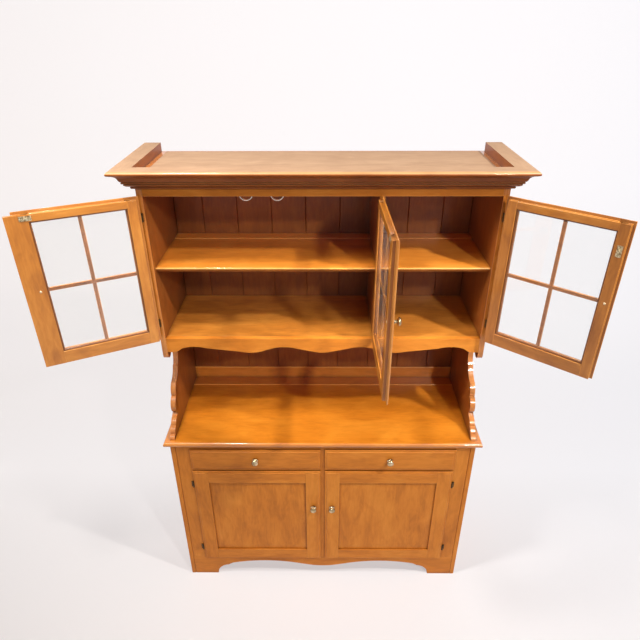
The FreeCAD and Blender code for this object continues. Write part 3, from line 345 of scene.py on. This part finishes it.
# Hutch case: a floor, a top and an upright partition of planed maple, dowelled together between the
# sides. The partition stands right of the middle and carries the middle door's hinges. The top is
# out of sight and never polished, and its upper face is painted a dull, pale grey-tan.
dull_grey_top_maple = wood("dull_grey_top_maple", dark=(0.33, 0.195, 0.115), middle=(0.41, 0.25, 0.15),
                   light=(0.49, 0.31, 0.19), rough=0.7, coat=0.0, shine=0.2)
planed("case_floor_board", "case_bottom", "carcass", [LEVEL], maple)
case_top = planed("case_top_board", "case_top", "carcass", [LEVEL], maple)
recoat(case_top, dull_grey_top_maple, lambda face: face.normal.z > SQUARE_ON)
partition = planed("case_partition", "hutch_partition", "carcass", [UPRIGHT], maple)
# Painted shade: the partition's faces are painted dark, as the inner walls are.
recoat(partition, inner_wall_shade_maple, lambda face: abs(face.normal.x) > SQUARE_ON)

# Frieze and apron: a planed maple rail above the doors, and a bandsawn board that hides the case
# floor's front edge below them. Both are glued in between the hutch sides.
# Painted shade: the frieze's maple is a darker copy, for the shade under the cornice.
frieze_shade_maple = wood("frieze_shade_maple", dark=(0.40, 0.115, 0.0115), middle=(0.55, 0.172, 0.018),
                    light=(0.66, 0.235, 0.031), rough=0.45, coat=0.05, shine=0.2)
planed("frieze_board", "frieze_rail", "carcass", [LEVEL], (frieze_shade_maple, arris_wear_and_highlight))
planed("scrolled_apron", "shaped_apron", "carcass", [LEVEL], base_finish)

# Cornice: a crown moulding run on a spindle moulder, mitred at the front corners and nailed round
# the top. It is painted darker and redder as shade, deepest in its hollows, its upward nose paler as a
# painted highlight, and its flat top a dull grey-tan.
NOSE_TILT, TOP_TILT = 0.3, 0.97
crown_shade_maple = wood("crown_shade_maple", dark=(0.17, 0.040, 0.0055), middle=(0.265, 0.068, 0.009),
                   light=(0.35, 0.103, 0.0145), rough=0.45, coat=0.12, shine=0.25, shade_reach=0.013)
nose_highlight_maple = wood("nose_highlight_maple", dark=(0.44, 0.205, 0.075), middle=(0.54, 0.265, 0.10),
                   light=(0.62, 0.325, 0.13), rough=0.4, coat=0.3)
for name, node, grain in (("crown_front", "cornice_front", LEVEL),
                          ("crown_returns", "cornice_returns", DEEP)):
    moulding = planed(name, node, "carcass", [grain], (crown_shade_maple, arris_wear_and_highlight), arris=0.0004)
    recoat(moulding, nose_highlight_maple, lambda face: face.normal.z > NOSE_TILT)
    recoat(moulding, dull_grey_top_maple, lambda face: face.normal.z > TOP_TILT)

# Hutch back: upright maple planks with bevelled edges, so that a V shows at each joint, nailed to the
# case and painted dark as shade. A low rail, with a pale painted highlight along its top edge, stands on
# the counter against them.
RAIL_RISE, RAIL_FRONT = 0.35, -0.2
inside_shade_maple = wood("inside_shade_maple", dark=(0.24, 0.070, 0.0115), middle=(0.37, 0.112, 0.0175),
                    light=(0.47, 0.157, 0.027), rough=0.4, coat=0.3, shade_reach=0.14)
# Painted light: a lighter copy of the maple for the lit tops of the shelves and the rail.
lit_shelf_maple = wood("lit_shelf_maple", dark=(0.60, 0.186, 0.019), middle=(0.80, 0.270, 0.030),
                   light=(0.90, 0.352, 0.052), rough=0.34, coat=0.6)
planed("back_planks", "back_boards", "carcass", [UPRIGHT], (inside_shade_maple, inside_shade_maple), arris=0.0004)
rail_board = planed("back_counter_rail", "back_rail", "carcass", [LEVEL], (lit_shelf_maple, arris_wear_and_highlight))
recoat(rail_board, pale_edge_highlight,
       lambda face: face.normal.z > RAIL_RISE and face.normal.y < RAIL_FRONT)

# Hutch shelves: loose maple boards with a rounded front painted pale as a highlight, a groove that keeps
# plates from sliding and undersides painted dark as shade. They rest on turned pegs that push into holes
# in the sides and the partition, as the base's shelf does.
ROUNDED_FRONT, ROUNDED_LOW, UNDERSIDE = -0.35, -0.3, -0.5
for name, node in (("wide_shelf_board", "shelf_wide"), ("narrow_shelf_board", "shelf_narrow")):
    shelf_board = planed(name, node, "carcass", [LEVEL], (lit_shelf_maple, pale_edge_highlight), arris=0.0016)
    recoat(shelf_board, pale_edge_highlight,
           lambda face: face.normal.y < ROUNDED_FRONT and face.normal.z > ROUNDED_LOW)
    recoat(shelf_board, inside_shade_maple, lambda face: face.normal.z < UNDERSIDE)
planed("turned_pegs", "shelf_pegs", "carcass", [LEVEL], unfinished, arris=0.0003)

# Glazed doors: stiles and rails of maple with a thumbnail lip, a cross of thin muntins in front of
# the glass, and a bevelled bead pinned behind it. The rails' grain runs along each open door. The right
# door's frame is painted darker as shade, and the bead darker still as shadow.
DOOR_TURNS = {"left_door": -153, "middle_door": 91, "right_door": 139}
BEHIND_PANE = 0.0005
right_door_shade_maple = wood("right_door_shade_maple", dark=(0.25, 0.076, 0.0092), middle=(0.41, 0.142, 0.0172),
                    light=(0.55, 0.218, 0.035), rough=0.36, coat=0.5)
bead_shadow_maple = wood("bead_shadow_maple", dark=(0.14, 0.043, 0.0095), middle=(0.21, 0.067, 0.014),
                  light=(0.28, 0.098, 0.021), rough=0.4, coat=0.2)
door_stain_and_shade = {"left_door": honey_maple, "middle_door": honey_maple, "right_door": right_door_shade_maple}
for door, turn in DOOR_TURNS.items():
    along = (math.cos(math.radians(turn)), math.sin(math.radians(turn)), 0)
    planed(f"{door}_stiles_and_rails", f"{door}_frame", door, [UPRIGHT, UPRIGHT, along, along],
           (door_stain_and_shade[door], arris_wear_and_highlight))
    bars = planed(f"{door}_muntins_and_bead", f"{door}_glazing_bars", door, [along, UPRIGHT], maple,
                  arris=0.0005)
    forward = Vector(along).cross(UPRIGHT)
    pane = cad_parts[f"{door}_glass"].data
    pane_back = min(forward.dot(corner.co) for corner in pane.vertices)
    recoat(bars, bead_shadow_maple, lambda face: forward.dot(face.center) < pane_back + BEHIND_PANE)


# Door glass: one clear sheet in each door, slightly wavy, with a faint film of dust on it. Lamps
# shine through it, so that only the wood throws a shadow.
def mixed(tree, share, one, other):
    """One surface and another over it, by its share."""
    return put(tree, "ShaderNodeMixShader", i0=share, i1=one, i2=other).outputs["Shader"]


clear_glass, tree, shader = finish_of("clear_glass")
place = put(tree, "ShaderNodeTexCoord").outputs["Object"]
film = patchy(tree, place, Scale=14.0, Detail=4.0)
smear = spread(tree, film, From_Min=0.35, From_Max=0.8, To_Min=0.0, To_Max=0.05)
tree.links.new(smear, shader.inputs["Roughness"])
tint = coloured(tree, film, (0, (0.975, 0.985, 0.98)), (1, (0.99, 0.995, 0.99)))
tree.links.new(tint, shader.inputs["Base Color"])
wave = patchy(tree, place, Scale=5.0, Detail=1.0)
roughen(tree, shader, wave, strength=0.04, distance=0.002)
shader.inputs["Transmission Weight"].default_value = 1.0
shader.inputs["IOR"].default_value = 1.5
dust = put(tree, "ShaderNodeBsdfDiffuse", Color=(0.9, 0.88, 0.86, 1)).outputs["BSDF"]
settled = spread(tree, film, To_Min=0.01, To_Max=0.04)
dusty_pane = mixed(tree, settled, shader.outputs["BSDF"], dust)
passing = put(tree, "ShaderNodeBsdfTransparent").outputs["BSDF"]
lamp_ray = put(tree, "ShaderNodeLightPath").outputs["Is Shadow Ray"]
tree.links.new(mixed(tree, lamp_ray, dusty_pane, passing),
               tree.nodes["Material Output"].inputs["Surface"])
for door in DOOR_TURNS:
    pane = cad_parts[f"{door}_glass"].data
    pane.materials.clear()
    pane.materials.append(clear_glass)

# Hinges and strikes: small butt hinges at the lips' edges and pressed strike plates on the doors'
# backs, of brass that was darkened in the making and is mottled dark and bright; on the strikes the
# bright patches are painted highlights.
METAL_CORNER = math.radians(35)
SCRATCHES_PER_PATCH = 12
TARNISHED, POLISHED = 0.36, 0.66


def metal(name, dark, bright, rough, mottle):
    """Brass or steel mottled from dark to bright, with fine scratches."""
    material, tree, shader = finish_of(name)
    place = put(tree, "ShaderNodeTexCoord").outputs["Object"]
    patches = patchy(tree, place, Scale=mottle, Detail=5.0)
    tarnish = coloured(tree, patches, (TARNISHED, dark), (POLISHED, bright))
    tree.links.new(tarnish, shader.inputs["Base Color"])
    wear = spread(tree, patches, To_Min=rough - 0.06, To_Max=rough + 0.1)
    tree.links.new(wear, shader.inputs["Roughness"])
    scratches = patchy(tree, place, Scale=mottle * SCRATCHES_PER_PATCH, Detail=3.0)
    roughen(tree, shader, scratches, strength=0.08, distance=0.0002)
    shader.inputs["Metallic"].default_value = 1.0
    return material


def fitted(name, node, body, finish_places):
    """The metal solids of a node as one piece. Each solid takes its finish from the list in turn."""
    finishes = list(dict.fromkeys(finish_places))
    solids = [rough_sawn(faces) for faces in solids_of(node)]
    for place, solid in enumerate(solids):
        for face in solid.faces:
            face.material_index = finishes.index(finish_places[place % len(finish_places)])
    mesh = joined(name, solids, finishes)
    mesh.set_sharp_from_angle(angle=METAL_CORNER)
    piece = bpy.data.objects.new(name, mesh)
    bpy.context.scene.collection.objects.link(piece)
    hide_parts(node)
    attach(piece, body)


dark_brass = metal("dark_brass", dark=(0.05, 0.03, 0.015), bright=(0.16, 0.10, 0.045),
                   rough=0.38, mottle=160.0)
strike_brass = metal("strike_brass", dark=(0.24, 0.15, 0.06), bright=(0.96, 0.82, 0.54),
                     rough=0.4, mottle=190.0)
for door in DOOR_TURNS:
    fitted(f"{door}_hinges_and_strike", f"{door}_fittings", door,
           [dark_brass, dark_brass, strike_brass])
for door in ("left_base_door", "right_base_door"):
    fitted(f"{door}_butts", f"{door}_hinges", door, [dark_brass])
fitted("case_butts", "case_hinge_leaves", "carcass", [dark_brass])

# Catches: bowed strips of spring steel screwed under the frieze and on the partition, which grip
# the strikes when the doors are shut.
spring_steel = metal("spring_steel", dark=(0.82, 0.76, 0.66), bright=(0.97, 0.92, 0.82),
                     rough=0.5, mottle=120.0)
fitted("spring_catches", "catch_clips", "carcass", [spring_steel])

# Base doors: raised panels in lipped frames of maple. The panel floats in its groove so that it can
# swell and shrink, and its bevelled border is cut on a panel raiser.
for door in ("left_base_door", "right_base_door"):
    planed(f"{door}_stiles_and_rails", f"{door}_frame", door, [UPRIGHT, UPRIGHT, LEVEL, LEVEL],
           base_finish)
    planed(f"{door}_raised_panel", f"{door}_panel", door, [UPRIGHT], base_finish, arris=0.0005)

# Drawers: lipped maple fronts, finished as the base is, on boxes of plain sanded hardwood. A thin
# bottom is let into each box, and the box slides on its runners.
for drawer in ("left_drawer", "right_drawer"):
    planed(f"{drawer}_face", f"{drawer}_front", drawer, [LEVEL], base_finish)
    planed(f"{drawer}_sides", f"{drawer}_box", drawer, [DEEP, DEEP, LEVEL], unfinished)
    planed(f"{drawer}_floor", f"{drawer}_bottom", drawer, [LEVEL], unfinished)

# Knobs: turned brass with a domed head on a narrow neck and a flared rose, polished and lightly
# tarnished. Each is held by one screw through the wood, whose head shows on the back.
KNOB_LENGTH, KNOB_RADIUS = 0.024, 0.013
HEAD_LENGTH, HEAD_FLAT, HEAD_SWEEP, HEAD_STEPS = 0.013, 0.002, 160, 18
NECK_RADIUS, NECK_START = 0.005, 0.0062
ROSE_RADIUS, ROSE_FLARE, ROSE_STEPS, ROSE_EASING = 0.0105, 0.0042, 8, 0.0004
SHANK_RADIUS, WOOD_THICKNESS = 0.002, 0.018
SCREW_DOME = [(0.004, 0.0), (0.0036, 0.0008), (0.0026, 0.0013), (0.0, 0.0015)]
ROUNDS, QUARTER_TURN = 40, 90
KNOB_CORNER = math.radians(50)
knob_brass = metal("knob_brass", dark=(0.34, 0.24, 0.12), bright=(0.72, 0.57, 0.36),
                   rough=0.14, mottle=70.0)
screw_brass = metal("screw_brass", dark=(0.66, 0.52, 0.32), bright=(0.90, 0.78, 0.56),
                    rough=0.5, mottle=90.0)


def knob_profile():
    """Radius and distance in front of the wood, from the domed head back to the screw's head."""
    half = HEAD_LENGTH / 2
    profile = [(0.0, KNOB_LENGTH)]
    for step in range(HEAD_STEPS + 1):
        turn = math.radians(HEAD_SWEEP / 2 - step * HEAD_SWEEP / HEAD_STEPS)
        out = HEAD_FLAT + (KNOB_RADIUS - HEAD_FLAT) * math.cos(turn)
        profile.append((out, KNOB_LENGTH - half + half * math.sin(turn)))
    for step in range(ROSE_STEPS + 1):
        turn = math.radians(step * QUARTER_TURN / ROSE_STEPS)
        out = NECK_RADIUS + (ROSE_RADIUS - NECK_RADIUS) * (1 - math.cos(turn))
        profile.append((out, NECK_START - ROSE_FLARE * math.sin(turn)))
    profile += [(ROSE_RADIUS, ROSE_EASING), (ROSE_RADIUS - ROSE_EASING, 0.0)]
    profile += [(SHANK_RADIUS, 0.0), (SHANK_RADIUS, -WOOD_THICKNESS)]
    return profile + [(out, -WOOD_THICKNESS - height) for out, height in SCREW_DOME]


for body in ("left_door", "middle_door", "right_door", "left_base_door", "right_base_door",
             "left_drawer", "right_drawer"):
    turn = math.radians(DOOR_TURNS.get(body, 0))
    forward = Vector((math.sin(turn), -math.cos(turn), 0))
    sideways = Vector((math.cos(turn), math.sin(turn), 0))
    upward = Vector(UPRIGHT)
    corners = [corner.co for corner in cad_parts[f"{body}_knob"].data.vertices]
    middle = Vector()
    for side in (sideways, upward):
        places = [side.dot(corner) for corner in corners]
        middle += side * ((min(places) + max(places)) / 2)
    wood_face = max(forward.dot(corner) for corner in corners) - KNOB_LENGTH
    shape = bmesh.new()
    rings = []
    for radius, ahead in knob_profile():
        centre = middle + forward * (wood_face + ahead)
        angles = [math.tau * place / ROUNDS for place in range(ROUNDS if radius else 1)]
        rings.append([
            shape.verts.new(centre + radius * (sideways * math.cos(angle) + upward * math.sin(angle)))
            for angle in angles
        ])
    for step, (ring, following) in enumerate(zip(rings, rings[1:])):
        for place in range(ROUNDS):
            after = (place + 1) % ROUNDS
            if len(ring) == 1:
                face = shape.faces.new((ring[0], following[place], following[after]))
            elif len(following) == 1:
                face = shape.faces.new((ring[place], following[0], ring[after]))
            else:
                face = shape.faces.new((ring[place], following[place], following[after], ring[after]))
            face.smooth = True
            face.material_index = int(step >= len(rings) - 1 - len(SCREW_DOME))
    bmesh.ops.recalc_face_normals(shape, faces=shape.faces)
    mesh = bpy.data.meshes.new(f"{body}_turned_knob")
    shape.to_mesh(mesh)
    shape.free()
    mesh.materials.append(knob_brass)
    mesh.materials.append(screw_brass)
    mesh.set_sharp_from_angle(angle=KNOB_CORNER)
    knob = bpy.data.objects.new(f"{body}_turned_knob", mesh)
    bpy.context.scene.collection.objects.link(knob)
    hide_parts(f"{body}_knob")
    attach(knob, body)

# Studio: a pale seamless paper sweep that keeps the cupboard's shadow and is clear from behind, so that
# the back can be seen. Four lamps hang round it: a small one high on the right, one overhead, a weak
# soft one on the left and one in front, and the air is pale where the camera, metal or glass sees it.
WALL, HOLLOW, HALF, NEAR, HIGH = 1.5, 0.9, 7.0, -7.0, 5.0
CURVE_STEP = 6
line = [(NEAR, 0.0), (WALL - HOLLOW, 0.0)]
for turn in range(CURVE_STEP, QUARTER_TURN + 1, CURVE_STEP):
    angle = math.radians(turn)
    line.append((WALL - HOLLOW + HOLLOW * math.sin(angle), HOLLOW * (1 - math.cos(angle))))
line.append((WALL, HIGH))
sweep_shape = bmesh.new()
left_edge, right_edge = ([sweep_shape.verts.new((x, y, z)) for y, z in line] for x in (-HALF, HALF))
for place in range(len(line) - 1):
    face = sweep_shape.faces.new((left_edge[place], right_edge[place],
                                  right_edge[place + 1], left_edge[place + 1]))
    face.smooth = True
sweep_mesh = bpy.data.meshes.new("studio_sweep")
sweep_shape.to_mesh(sweep_mesh)
sweep_shape.free()


def seen_share(tree):
    """1 where the camera looks, straight or by way of a gloss or through glass, and otherwise 0."""
    ray = put(tree, "ShaderNodeLightPath").outputs
    seen = reckon(tree, "ADD", ray["Is Camera Ray"], ray["Is Glossy Ray"])
    return reckon(tree, "ADD", seen, ray["Is Transmission Ray"], clamp=True)


studio_paper, tree, shader = finish_of("studio_paper")
place = put(tree, "ShaderNodeTexCoord").outputs["Object"]
reach = put(tree, "ShaderNodeSeparateXYZ", Vector=place).outputs
fibre = patchy(tree, place, Scale=1.2, Detail=3.0)
across = spread(tree, reach["X"], From_Min=-2.0, From_Max=2.0, To_Max=0.8)
cool = reckon(tree, "MULTIPLY_ADD", fibre, 0.2, across)
paper = coloured(tree, cool, (0, (0.83, 0.785, 0.775)), (1, (0.83, 0.82, 0.85)))
tree.links.new(paper, shader.inputs["Base Color"])
shader.inputs["Roughness"].default_value = 0.9
shader.inputs["Specular IOR Level"].default_value = 0.1
brightness = spread(tree, reach["Z"], From_Max=1.2, To_Min=1.19, To_Max=1.29)
glow = put(tree, "ShaderNodeEmission", Color=paper, Strength=brightness).outputs["Emission"]
behind = spread(tree, reach["Y"], From_Min=-0.9, From_Max=0.2, To_Min=0.25, To_Max=0.78)
glow_share = reckon(tree, "MULTIPLY", seen_share(tree), behind)
lit_paper = mixed(tree, glow_share, shader.outputs["BSDF"], glow)
rear = put(tree, "ShaderNodeNewGeometry").outputs["Backfacing"]
see_through = put(tree, "ShaderNodeBsdfTransparent").outputs["BSDF"]
tree.links.new(mixed(tree, rear, lit_paper, see_through),
               tree.nodes["Material Output"].inputs["Surface"])
sweep_mesh.materials.append(studio_paper)
sweep = bpy.data.objects.new("studio_sweep", sweep_mesh)
bpy.context.scene.collection.objects.link(sweep)


def lamp(name, place, towards, size, power, colour):
    """A round lamp of a given width in metres and power in watts."""
    light = bpy.data.lights.new(name, "AREA")
    light.shape = "DISK"
    light.size = size
    light.energy = power
    light.color = colour
    holder = bpy.data.objects.new(name, light)
    holder.location = place
    holder.rotation_euler = (Vector(towards) - Vector(place)).to_track_quat("-Z", "Y").to_euler()
    bpy.context.scene.collection.objects.link(holder)


lamp("key_lamp", place=(1.6, -1.38, 2.95), towards=(0, -0.3, 1.0), size=0.13, power=50,
     colour=(1.0, 0.97, 0.92))
lamp("overhead_lamp", place=(-0.7, -0.93, 3.0), towards=(0, -0.3, 0.9), size=0.3, power=30,
     colour=(1.0, 0.97, 0.93))
lamp("left_lamp", place=(-1.5, -1.2, 3.0), towards=(0, -0.3, 0.9), size=0.4, power=14,
     colour=(1.0, 0.97, 0.93))
lamp("front_lamp", place=(1.5, -3.2, 3.27), towards=(0, -0.2, 1.0), size=0.25, power=52,
     colour=(1.0, 0.98, 0.96))
world = bpy.data.worlds.new("studio_air")
world.use_nodes = True
tree = world.node_tree
air = tree.nodes["Background"].inputs
air["Color"].default_value = (0.95, 0.97, 1.0, 1)
tree.links.new(spread(tree, seen_share(tree), To_Min=0.03, To_Max=0.85), air["Strength"])
bpy.context.scene.world = world

# Camera: above the front and looking down at the open doors, at the photograph's angle and framing.
# Its place, its turn and the length of its lens were fitted to the photograph's straight edges.
PHOTO_WIDTH, FOCAL_PIXELS, RISE_PIXELS, SENSOR = 640, 572.9, 30, 36
CAMERA_PLACE = (0.00565, -2.1556, 2.1952)
TURN_LEFT, LOOK_DOWN, LEAN = 0.0085, 0.5435, -0.0032
lens = bpy.data.cameras.new("camera")
lens.sensor_width = SENSOR
lens.lens = SENSOR * FOCAL_PIXELS / PHOTO_WIDTH
lens.shift_y = RISE_PIXELS / PHOTO_WIDTH
camera = bpy.data.objects.new("camera", lens)
bpy.context.scene.collection.objects.link(camera)
camera.matrix_world = (
    Matrix.Translation(CAMERA_PLACE)
    @ Matrix.Rotation(TURN_LEFT, 4, "Z")
    @ Matrix.Rotation(math.pi / 2 - LOOK_DOWN, 4, "X")
    @ Matrix.Rotation(LEAN, 4, "Z")
)
bpy.context.scene.camera = camera
bpy.context.scene.view_settings.view_transform = "Standard"
